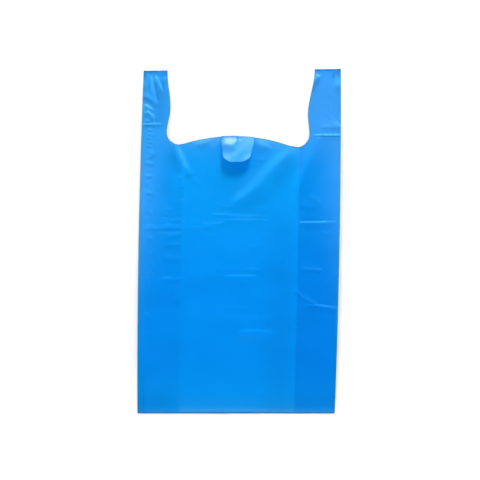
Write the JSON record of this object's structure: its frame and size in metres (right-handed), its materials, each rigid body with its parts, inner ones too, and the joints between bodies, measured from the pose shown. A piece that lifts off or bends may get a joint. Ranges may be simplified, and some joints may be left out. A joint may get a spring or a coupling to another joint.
{
  "type": "plastic carrier bag",
  "caption": "Plastic vest carrier bag laid flat, with tucked-in sides, welded ends, loop handles and a hanging tab folded over its mouth.",
  "frame": {"origin": "middle of the flat bag's outline, on the surface that its back panel lies on", "axes": "+X across the bag, +Y from the bottom weld up to the handles, +Z out of the front panel"},
  "size_m": [0.3038, 0.5138, 0.025],
  "materials": {
    "blue_film": "thin satin film, wrinkled, a little see-through"
  },
  "bodies": {
    "root": {"carrier_bag": "blue_film"}
  },
  "joints": []
}
